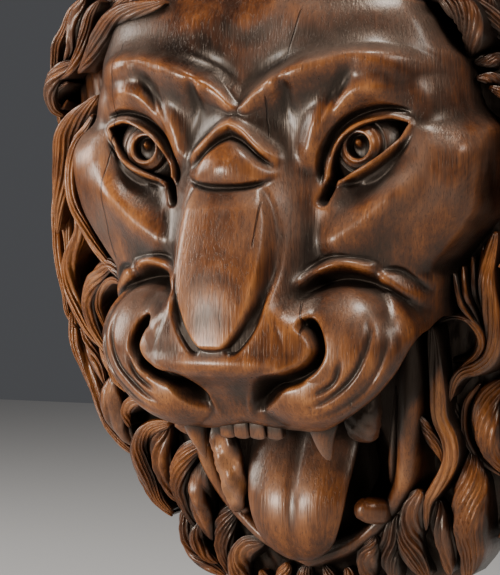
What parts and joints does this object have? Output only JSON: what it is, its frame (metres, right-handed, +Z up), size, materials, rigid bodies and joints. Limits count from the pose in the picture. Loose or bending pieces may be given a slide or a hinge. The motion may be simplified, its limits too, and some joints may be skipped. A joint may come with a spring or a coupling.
{
  "type": "carved lion wall mask",
  "caption": "Carved wooden lion mask with a roaring open mouth, hanging tongue, fangs and a curling mane, on a flat back that hangs against a wall.",
  "frame": {"origin": "middle of the flat back, where it rests on the wall", "axes": "+Z up the wall, +X to the viewer's right, the face looks along -Y and the back faces +Y"},
  "size_m": [0.6011, 0.2675, 0.6677],
  "materials": {
    "carved_wood": "dark red-brown varnish, worn on the ridges and near black in the hollows"
  },
  "bodies": {
    "root": {"lion_mask": "carved_wood"}
  },
  "joints": []
}
